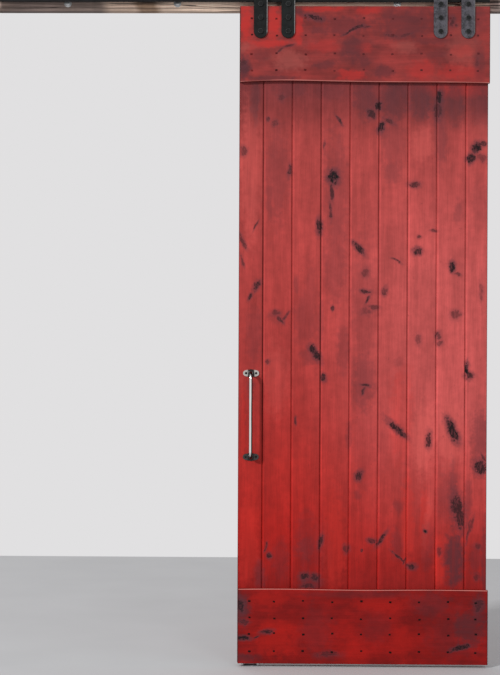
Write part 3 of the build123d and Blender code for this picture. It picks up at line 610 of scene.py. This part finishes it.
def running_groove(node):
    """A mask for the tread of a wheel."""
    centre = middle(node)
    tread_radius = 45 * MM

    def mask(steel):
        flat = steel.vector("MULTIPLY", steel.vector("SUBTRACT", steel.place, tuple(centre)), (1, 0, 1))
        radius = steel.vector("LENGTH", flat, out="Value")
        between_flanges = steel.eased(abs(steel.y - centre.y), 4.64 * MM, 4.47 * MM)
        return between_flanges * steel.eased(radius, tread_radius - 2 * MM, tread_radius - 0.5 * MM)

    return mask


def running_edge(steel):
    """A mask for the track's top edge."""
    return steel.eased(steel.facing_z, 0.3, 0.8)


def plastic(name, tones, rough, scale, depth):
    """Rubber or nylon, with a fine tooth."""
    stuff = Finish(name)
    cloud = stuff.noise(90, 3, 0.5)
    tooth = stuff.noise(scale, 2, 0.6, shift=6.0)
    colour = stuff.mix(stuff.eased(cloud, 0.3, 0.7), *tones)
    return stuff.surface(colour, rough + (tooth - 0.5) * 0.16, tooth, depth)


def handle_plate(node, ear_highlight):
    """A handle's plate: dark, with a painted highlight on its ears, this strong."""
    plate = Finish(f"{node}_nickel")
    cloud = plate.noise(110, 3, 0.6)
    grain = plate.noise(600, 2, 0.5, shift=4.0)
    off_middle = abs(plate.x - middle(node).x)
    # Painted highlight on the ears, and a painted dark reflection in the middle
    polish_and_painted_highlight = plate.eased(off_middle + (cloud - 0.5) * (10 * MM), 9 * MM, 15 * MM, 0.05, ear_highlight)
    colour = plate.mix(polish_and_painted_highlight, tone(30, 27, 29), tone(206, 202, 196))
    roughness = 0.24 + (cloud - 0.5) * 0.2 + (grain - 0.5) * 0.06
    return plate.surface(colour, roughness, grain * 0.5 + cloud * 0.5, 0.05 * MM, Metallic=1.0)


def rubbed_nickel():
    """Nickel with a painted highlight down its front, turned a little to the left, and dark towards its
    sides as painted shade.
    """
    nickel = Finish("rubbed_nickel")
    cloud = nickel.noise(70, 3, 0.55, (1, 1, 0.3))
    grain = nickel.noise(500, 2, 0.5, shift=4.0)
    # Painted highlight: bright where the surface faces the front and a little to the left
    outwards = nickel.facing_y * -0.96 + nickel.facing_x * -0.28
    polish_and_painted_highlight = nickel.eased(outwards + (cloud - 0.5) * 0.1, 0.72, 0.93)
    colour = nickel.mix(polish_and_painted_highlight, tone(52, 47, 47), tone(242, 238, 234))
    roughness = 0.24 + (cloud - 0.5) * 0.14 - polish_and_painted_highlight * 0.08
    return nickel.surface(colour, roughness, grain * 0.3 + cloud * 0.7, 0.02 * MM, Metallic=1.0)


def nail_iron():
    """Cut iron: dull red-brown under paint at the top of the leaf, near black at its foot."""
    iron = Finish("cut_nail_iron")
    cloud = iron.noise(16, 3, 0.55)
    grain = iron.noise(900, 2, 0.5, shift=4.0)
    painted = iron.eased(iron.z, leaf_middle - 300 * MM, leaf_middle + 300 * MM)
    bare = iron.mix(cloud, tone(10, 6, 7), tone(30, 12, 13))
    red = iron.mix(iron.eased(cloud, 0.35, 0.65), tone(48, 15, 17), tone(104, 32, 32))
    redder = iron.eased(iron.x, leaf_left + 250 * MM, leaf_left + 400 * MM, 0.0, 0.75)
    red = iron.mix(redder, red, tone(92, 38, 40))
    roughness = 0.62 + (grain - 0.5) * 0.1
    return iron.surface(iron.mix(painted, bare, red), roughness, grain, 0.2 * MM, Specular_IOR_Level=0.08)


black_tones = (tone(6, 7, 7), tone(18, 19, 19))
zinc_tones = (tone(186, 188, 190), tone(220, 220, 219))
dark_tones = (tone(34, 31, 31), tone(66, 62, 61))
bearing_tones = (tone(182, 184, 187), tone(206, 207, 209))
guide_tones = (tone(112, 113, 115), tone(146, 147, 149))
nylon_tones = (tone(48, 48, 49), tone(62, 62, 63))
rubber_tones = (tone(26, 26, 27), tone(38, 38, 39))
zinc = metal("zinc_plate", zinc_tones, rough=0.36, scales=(90, 900), depth=0.05 * MM)
dark_nickel = metal("dark_nickel", dark_tones, rough=0.25, scales=(120, 600), depth=0.03 * MM)
guide = metal(
    "guide_steel", guide_tones, rough=0.36, scales=(50, 600), depth=0.08 * MM, stretch=(0.06, 1, 1)
)
iron = nail_iron()
by_slot = {
    "header_wood": weathered_wood(),
    "nail_iron": iron,
    "zinc": zinc,
    "black_steel": metal(
        "black_steel",
        black_tones,
        rough=0.46,
        scales=(60, 700),
        depth=0.12 * MM,
        metallic=0.0,
        edges=tone(84, 86, 86),
        shine=0.16,
    ),
    "sleeve_nylon": plastic("sleeve_nylon", nylon_tones, rough=0.5, scale=800, depth=0.04 * MM),
    "bearing_steel": metal(
        "bearing_steel", bearing_tones, rough=0.18, scales=(80, 1200), depth=0.02 * MM
    ),
    "rubber": plastic("bumper_rubber", rubber_tones, rough=0.78, scale=500, depth=0.1 * MM),
    "guide_steel": guide,
    "polished_nickel": rubbed_nickel(),
}
# How the battens' hewn edges wander from left to right, in mm towards the leaf's middle
top_wander = (1.0, -4.8, -2.6, 0.0, 1.0, 1.4, 3.6)
bottom_wander = (0.0, 1.6, 0.4, -0.8, 0.6, 1.2, 0.0)
top_shades = (tone(108, 42, 42), tone(142, 50, 47))
bottom_shades = (tone(116, 15, 14), tone(146, 19, 15))
top_patches = (
    (tone(182, 42, 38), TOP_FRESH),
    (tone(158, 74, 68), TOP_FADED),
    (tone(80, 38, 43), TOP_STAINS),
)
bottom_patches = ((tone(168, 24, 17), BOTTOM_FRESH), (tone(74, 36, 41), BOTTOM_STAINS))
by_node = {f"board_{number}": board_paint(number) for number in range(1, BOARD_COUNT + 1)}
by_node["top_batten"] = batten_paint(
    "top_batten", top_shades, TOP_KNOTS, top_patches, top_hewn_z, top_wander, direction=1, seed=23.0
)
by_node["bottom_batten"] = batten_paint(
    "bottom_batten",
    bottom_shades,
    BOTTOM_KNOTS,
    bottom_patches,
    bottom_hewn_z,
    bottom_wander,
    direction=-1,
    seed=31.0,
)
by_node["track_rail"] = worn_steel("track_steel", running_edge)
for side in ("left", "right"):
    by_node[f"{side}_wheel"] = worn_steel(f"{side}_wheel_steel", running_groove(f"{side}_wheel"))
    by_node[f"{side}_hanger_strap"] = strap_steel(f"{side}_hanger_strap")
# The upper plate's ears painted as lit, the lower plate's as in shade
for end, ear_highlight in (("upper", 0.9), ("lower", 0.1)):
    by_node[f"handle_{end}_plate"] = handle_plate(f"handle_{end}_plate", ear_highlight)
for node, item in nodes.items():
    finish = by_node.get(node) or by_slot[slot_of[node]]
    for place in item.material_slots:
        place.material = finish


# Repeated pieces

def shape(name, maker):
    """A loose shape that a tree sets out in many places. It is removed once they are made."""
    mesh = bpy.data.meshes.new(name)
    made = bmesh.new()
    maker(made)
    bmesh.ops.remove_doubles(made, verts=made.verts, dist=1e-6)
    bmesh.ops.recalc_face_normals(made, faces=made.faces)
    made.to_mesh(mesh)
    made.free()
    item = bpy.data.objects.new(name, mesh)
    bpy.context.scene.collection.objects.link(item)
    return item


def corners_at(made, points):
    """New corners of a mesh at these points."""
    return [made.verts.new(point) for point in points]


def walls(made, lower, upper):
    """Faces between two loops of corners."""
    for i, corner in enumerate(lower):
        after = (i + 1) % len(lower)
        made.faces.new((corner, lower[after], upper[after], upper[i]))


def rings_joined(made, rings):
    """Walls between rings of points, with both ends closed."""
    loops = [corners_at(made, ring) for ring in rings]
    for lower, upper in zip(loops, loops[1:]):
        walls(made, lower, upper)
    made.faces.new(loops[0][::-1])
    made.faces.new(loops[-1])


def lathe(profile, steps, flats=None):
    """Rings of a turned shape from (radius, height) pairs, cut to a hexagon where flats are given."""
    rings = []
    for radius, height in profile:
        ring = []
        for i in range(steps):
            turn = tau * i / steps
            reach = radius
            if flats:
                reach = min(radius, flats / 2 / cos(turn % (pi / 3) - pi / 6))
            ring.append((reach * cos(turn), reach * sin(turn), height))
        rings.append(ring)
    return rings


class Repeat(Graph):
    """A Geometry Nodes tree that makes pieces at given points, from named sizes, a seed and a material."""

    def __init__(self, name, sizes=(), **others):
        super().__init__(bpy.data.node_groups.new(name, "GeometryNodeTree"))
        inputs = {**dict.fromkeys(sizes, "Float"), **others, "Seed": "Int", "Material": "Material"}
        sockets = self.tree.interface
        sockets.new_socket("Geometry", in_out="INPUT", socket_type="NodeSocketGeometry")
        sockets.new_socket("Geometry", in_out="OUTPUT", socket_type="NodeSocketGeometry")
        self.keys = {
            label: sockets.new_socket(label, in_out="INPUT", socket_type=f"NodeSocket{kind}").identifier
            for label, kind in inputs.items()
        }
        outputs = self.node("NodeGroupInput", out=None)
        self.points = outputs[0]
        self.given = dict(zip(inputs, outputs[1:]))

    def between(self, low, high, salt):
        """A random number for each point, from the tree's seed."""
        seed = self.given["Seed"] + salt
        limits = {2: low, 3: high, "Seed": seed}
        return self.node("FunctionNodeRandomValue", limits, 1, data_type="FLOAT")

    def combined(self, x, y, z):
        return self.node("ShaderNodeCombineXYZ", {0: x, 1: y, 2: z})

    def joined(self, *pieces):
        """Several pieces as one."""
        whole = self.node("GeometryNodeJoinGeometry")
        for piece in pieces:
            self.tree.links.new(piece.socket, whole.socket.node.inputs[0])
        return whole

    def shifted(self, piece, offset):
        return self.node("GeometryNodeTransform", {"Geometry": piece, "Translation": offset})

    def lowered(self, piece, depth):
        return self.shifted(piece, self.combined(0.0, 0.0, depth * -1))

    def set_out(self, piece, rotation, scale):
        """The piece at each point."""
        values = {"Points": self.points, "Instance": piece, "Rotation": rotation, "Scale": scale}
        return self.node("GeometryNodeInstanceOnPoints", values)

    def close(self, geometry):
        """The tree's end: a real mesh with its material."""
        real = self.node("GeometryNodeRealizeInstances", {0: geometry})
        values = {"Geometry": real, "Material": self.given["Material"]}
        painted = self.node("GeometryNodeSetMaterial", values)
        self.node("NodeGroupOutput", {0: painted})
        return self


def made_by(repeat, name, points, values):
    """Runs a tree on points and gives its result as an object with a plain mesh."""
    mesh = bpy.data.meshes.new(name)
    mesh.from_pydata(points, [], [])
    piece = bpy.data.objects.new(name, mesh)
    bpy.context.scene.collection.objects.link(piece)
    modifier = piece.modifiers.new("repeat", "NODES")
    modifier.node_group = repeat.tree
    for label, value in values.items():
        modifier[repeat.keys[label]] = value
    ready = bpy.context.evaluated_depsgraph_get()
    result = bpy.data.meshes.new_from_object(piece.evaluated_get(ready), depsgraph=ready)
    piece.modifiers.remove(modifier)
    piece.data = result
    return piece


def nails_tree():
    """Cut nails: a domed, hammered head and a flat-sided shank at each point, facing the front."""
    sizes = ("Head Width", "Head Height", "Head Rise")
    tree = Repeat("cut_nails", sizes, Shank="Vector", Dents="Float")
    width, height, rise = (tree.given[size] for size in sizes)
    head = tree.node(
        "GeometryNodeMeshCube",
        {"Size": tree.combined(width, height, rise), "Vertices X": 6, "Vertices Y": 5, "Vertices Z": 3},
    )
    x, y, z = tree.node("ShaderNodeSeparateXYZ", {0: tree.node("GeometryNodeInputPosition")}, None)
    level = z / rise + 0.5
    narrow = 1 - level * level * 0.3
    from_middle = x * x / (width * width) + y * y / (height * height)
    domed = (z + rise * 0.5) * (1 - from_middle * 1.1)
    head = tree.node(
        "GeometryNodeSetPosition",
        {"Geometry": head, "Position": tree.combined(x * narrow, y * narrow, domed - rise * 0.12)},
    )
    shank_size = tree.given["Shank"]
    shank = tree.node("GeometryNodeMeshCube", {"Size": shank_size})
    shank = tree.shifted(shank, tree.vector("MULTIPLY", shank_size, (0, 0, -0.5)))
    size = tree.between(0.86, 1.08, 1)
    turn = tree.combined(pi / 2, tree.between(-0.2, 0.2, 2), 0.0)
    out = tree.set_out(tree.joined(head, shank), turn, size)
    apart = tree.node("GeometryNodeRealizeInstances", {0: out})
    dents = tree.node("ShaderNodeTexNoise", {"Scale": 260.0, "Detail": 1.0}, "Color")
    offset = tree.vector("MULTIPLY", tree.vector("SUBTRACT", dents, (0.5, 0.5, 0.5)), tree.given["Dents"])
    return tree.close(tree.node("GeometryNodeSetPosition", {"Geometry": apart, "Offset": offset}))


def thread_tree():
    """The threaded end of a lag screw, downwards from each point: a core, a helical ridge and a tip."""
    sizes = ("Root Radius", "Crest", "Pitch", "Length", "Tip")
    tree = Repeat("screw_thread", sizes)
    root, crest, pitch, length, tip = (tree.given[size] for size in sizes)
    helix = tree.node(
        "GeometryNodeCurveSpiral",
        {
            "Resolution": 24,
            "Rotations": length / pitch,
            "Start Radius": root,
            "End Radius": root,
            "Height": length,
        },
    )
    section = tree.node("GeometryNodeCurvePrimitiveCircle", {"Resolution": 3, "Radius": crest})
    ridge = tree.node(
        "GeometryNodeCurveToMesh",
        {"Curve": tree.lowered(helix, length), "Profile Curve": section, "Fill Caps": True},
    )
    core = tree.node(
        "GeometryNodeMeshCylinder", {"Vertices": 24, "Radius": root, "Depth": length}, fill_type="NGON"
    )
    point = tree.node(
        "GeometryNodeMeshCone",
        {"Vertices": 24, "Radius Top": root, "Radius Bottom": root * 0.2, "Depth": tip},
        fill_type="NGON",
    )
    whole = tree.joined(ridge, tree.lowered(core, length * 0.5), tree.lowered(point, length + tip))
    return tree.close(tree.set_out(whole, (0.0, 0.0, 0.0), (1.0, 1.0, 1.0)))


def screws_tree():
    """Copies of one fastener at the points, each turned its own way about its axis."""
    tree = Repeat("set_screws", Piece="Object", Facing="Vector", Turning="Vector")
    piece = tree.node("GeometryNodeObjectInfo", {"Object": tree.given["Piece"]}, "Geometry")
    turned = tree.scaled(tree.given["Turning"], tree.between(0.0, tau, 1))
    rotation = tree.vector("ADD", tree.given["Facing"], turned)
    return tree.close(tree.set_out(piece, rotation, (1.0, 1.0, 1.0)))


def finished(piece, body, slot, *replaced):
    """Says what a finished piece rides on and stands for, whose CAD parts it hides. Its slot is not used."""
    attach(piece, body)
    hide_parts(*replaced)


def screws_at(points, name, screw, facing, turning, seed, finish):
    """Copies of one screw at the points, as one piece."""
    values = {"Piece": screw, "Facing": facing, "Turning": turning, "Seed": seed, "Material": finish}
    return made_by(screw_setter, name, points, values)


def nail_points(upper_z, rows):
    """Places of a batten's nails, a little off their grid as hand nailing leaves them."""
    points = []
    for i in range(BOARD_COUNT):
        left_of_middle = 6.5 if 0 < i < BOARD_COUNT - 1 else 0.0
        column = (board_edges[i] + board_edges[i + 1]) / 2 - left_of_middle
        for j, row in enumerate(rows):
            across = column + 1.2 * sin(5.1 * i + 2.3 * j)
            down = row - 2.4 * sin(3.7 * i + 1.9 * j)
            points.append((leaf_left + across * MM, batten_front, upper_z - down * MM))
    return points


nail_maker = nails_tree()
nail_sizes = {
    "Head Width": 9 * MM,
    "Head Height": 7 * MM,
    "Head Rise": 1.7 * MM,
    "Shank": (4 * MM, 3 * MM, 40 * MM),
    "Dents": 0.5 * MM,
    "Material": iron,
}
# Each batten's nails: their rows in mm below its upper edge, and their seed
for name, upper_z, rows, seed in (
    ("top_batten_cut_nails", leaf_top, (45, 107, 175, 235), 11),
    ("bottom_batten_cut_nails", bottom_hewn_z, (44, 106, 163, 227), 12),
):
    nails = made_by(nail_maker, name, nail_points(upper_z, rows), {**nail_sizes, "Seed": seed})
    finished(nails, "door", "nail_iron", name.replace("_cut", ""))

# Lag screws of the header: hexagon head, shank, and a threaded end that stands out behind the board
washer_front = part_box("header_washers")[0].y
thread = made_by(
    thread_tree(),
    "lag_thread",
    [(0.0, 0.0, washer_front)],
    {
        "Root Radius": 2.9 * MM,
        "Crest": 0.75 * MM,
        "Pitch": 2.6 * MM,
        "Length": 45 * MM,
        "Tip": 4.2 * MM,
        "Seed": 1,
        "Material": zinc,
    },
)


def lag_screw(made):
    """A hexagon head with a domed, chamfered top, and its shank and thread."""
    flats = 13 * MM
    shank_radius = 4 * MM
    head = [(4.0, 0.0), (9.0, 0.0), (9.0, 4.1), (7.3, 4.9), (5.6, 5.3), (2.0, 5.5), (0.6, 5.5)]
    head = [(radius * MM, height * MM) for radius, height in head]
    shank = [(shank_radius, washer_front), (shank_radius, 0.3 * MM)]
    rings_joined(made, lathe(head, steps=48, flats=flats))
    rings_joined(made, lathe(shank, steps=24))
    made.from_mesh(thread.data)


screw_setter = screws_tree()
to_front = (pi / 2, 0.0, 0.0)
about_y, about_z = (0.0, 1.0, 0.0), (0.0, 0.0, 1.0)

lag_shape = shape("lag_screw_shape", lag_screw)
lag_spacing = 406.4 * MM
lag_points = [
    (lag_spacing * column, washer_front, above * MM)
    for column in (-2.5, -1.5, -0.5, 0.5, 1.5, 2.5)
    for above in (-24, 24)
]
lag_screws = screws_at(
    lag_points, "header_lag_screws", lag_shape, to_front, about_y, seed=5, finish=zinc
)
finished(lag_screws, "header", "zinc", "header_screws")


def cross_screw(head_radius, shank_radius, head_depth, length):
    """A countersunk screw with a cross recess in its head."""

    def maker(made):
        tip_height = 4 * MM
        profile = (
            (head_radius, 0.0),
            (shank_radius, -head_depth),
            (shank_radius, tip_height - length),
            (shank_radius / 4, -length),
        )
        rings = lathe(profile, steps=28)
        arm, half = 0.62 * head_radius, 0.14 * head_radius
        corners = [(half, arm), (-half, arm), (-half, half), (-arm, half), (-arm, -half), (-half, -half)]
        outline = corners + [(-x, -y) for x, y in corners]
        rim = corners_at(made, rings[0])
        brink = corners_at(made, [(x, y, 0.0) for x, y in outline])
        floor = corners_at(made, [(x * 0.72, y * 0.72, -0.45 * head_depth) for x, y in outline])
        edges = []
        for loop in (rim, brink):
            for i, corner in enumerate(loop):
                edges.append(made.edges.new((corner, loop[(i + 1) % len(loop)])))
        bmesh.ops.triangle_fill(made, use_beauty=True, use_dissolve=False, edges=edges)
        walls(made, brink, floor)
        made.faces.new(floor)
        above = rim
        for ring in rings[1:]:
            below = corners_at(made, ring)
            walls(made, above, below)
            above = below
        made.faces.new(above)

    return maker


handle_screw = cross_screw(
    head_radius=4.4 * MM, shank_radius=2.1 * MM, head_depth=4 * MM, length=24 * MM
)
handle_shape = shape("handle_screw_shape", handle_screw)
handle_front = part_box("handle_screws")[0].y
handle_points = [
    (middle(plate).x + across * MM, handle_front, middle(plate).z)
    for plate in ("handle_upper_plate", "handle_lower_plate")
    for across in (-18.5, 18.5)
]
handle_screws = screws_at(
    handle_points, "handle_cross_screws", handle_shape, to_front, about_y, seed=8, finish=dark_nickel
)
finished(handle_screws, "door", "polished_nickel", "handle_screws")

guide_screw = cross_screw(
    head_radius=4.3 * MM, shank_radius=2.2 * MM, head_depth=3 * MM, length=31 * MM
)
guide_shape = shape("guide_screw_shape", guide_screw)
guide_middle = middle("floor_guide")
guide_screw_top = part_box("floor_guide_screws")[1].z
guide_points = [
    (guide_middle.x + across * MM, guide_middle.y + deep * MM, guide_screw_top)
    for across in (-23, 23)
    for deep in (-14, 14)
]
upright = (0.0, 0.0, 0.0)
guide_screws = screws_at(
    guide_points, "floor_guide_cross_screws", guide_shape, upright, about_z, seed=9, finish=guide
)
finished(guide_screws, "header", "guide_steel", "floor_guide_screws")

for used in (thread, lag_shape, handle_shape, guide_shape):
    bpy.data.objects.remove(used)


# Floor, light and camera

floor_finish = Finish("pale_floor")
speck = floor_finish.noise(3, 2, 0.5)
floor_colour = floor_finish.mix(speck, tone(196, 196, 198), tone(204, 204, 206))
floor_finish.surface(floor_colour, 0.9, speck, 0.1 * MM, Specular_IOR_Level=0.0)
floor_mesh = bpy.data.meshes.new("floor")
floor_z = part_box("floor_guide")[0].z
floor_corners = [(x, y, floor_z) for x, y in ((-4.5, -4.5), (5.0, -4.5), (5.0, 3.0), (-4.5, 3.0))]
floor_mesh.from_pydata(floor_corners, [], [(0, 1, 2, 3)])
floor_mesh.materials.append(floor_finish.material)
floor = bpy.data.objects.new("floor", floor_mesh)
bpy.context.scene.collection.objects.link(floor)

scene = bpy.context.scene
scene.world = bpy.data.worlds.new("studio")
scene.world.use_nodes = True
room = Graph(scene.world.node_tree)
room.tree.nodes.clear()
# The backdrop is what is seen and reflected. The lighting is what falls on the door.
seen = room.node("ShaderNodeLightPath", out="Is Camera Ray")
for ray in ("Is Glossy Ray", "Is Transmission Ray"):
    seen = seen.most(room.node("ShaderNodeLightPath", out=ray))
lighting = room.node("ShaderNodeBackground", {"Color": (1.0, 1.0, 1.0, 1.0), "Strength": 0.47})
backdrop = room.node("ShaderNodeBackground", {"Color": tone(225, 224, 225), "Strength": 1.0})
mixed = room.node("ShaderNodeMixShader", {0: seen, 1: lighting, 2: backdrop})
room.node("ShaderNodeOutputWorld", {"Surface": mixed})


def lamp(name, left, above, distance, size, power):
    """A soft square lamp aimed at the leaf's middle, by degrees to the left of its front and above it."""
    aim = Vector(((leaf_left + leaf_right) / 2, board_front, leaf_middle))
    turn, rise = radians(left), radians(above)
    towards = Vector((-sin(turn) * cos(rise), -cos(turn) * cos(rise), sin(rise)))
    light = bpy.data.lights.new(name, "AREA")
    light.shape = "SQUARE"
    light.size = size
    light.energy = power
    item = bpy.data.objects.new(name, light)
    item.location = aim + towards * distance
    item.rotation_euler = towards.to_track_quat("Z", "Y").to_euler()
    item.visible_camera = False
    scene.collection.objects.link(item)


lamp("key_lamp", left=40, above=22, distance=16.0, size=1.38, power=1724)
lamp("side_lamp", left=-20, above=14, distance=7.0, size=1.2, power=45)
lamp("back_lamp", left=150, above=35, distance=6.0, size=3.0, power=40)

# The camera is 6.3 m from the header's back, with no pitch and a roll of a quarter of a degree.
# It is set by the seams, the leaf's edges and the handle.
camera = bpy.data.cameras.new("camera")
camera.sensor_width = 36.0
camera.lens = 90.24
viewer = bpy.data.objects.new("camera", camera)
viewer.location = (0.1662, -6.3002, -1.2593)
viewer.rotation_euler = (pi / 2, radians(-0.248), radians(0.876))
scene.collection.objects.link(viewer)
scene.camera = viewer
scene.view_settings.view_transform = "Standard"
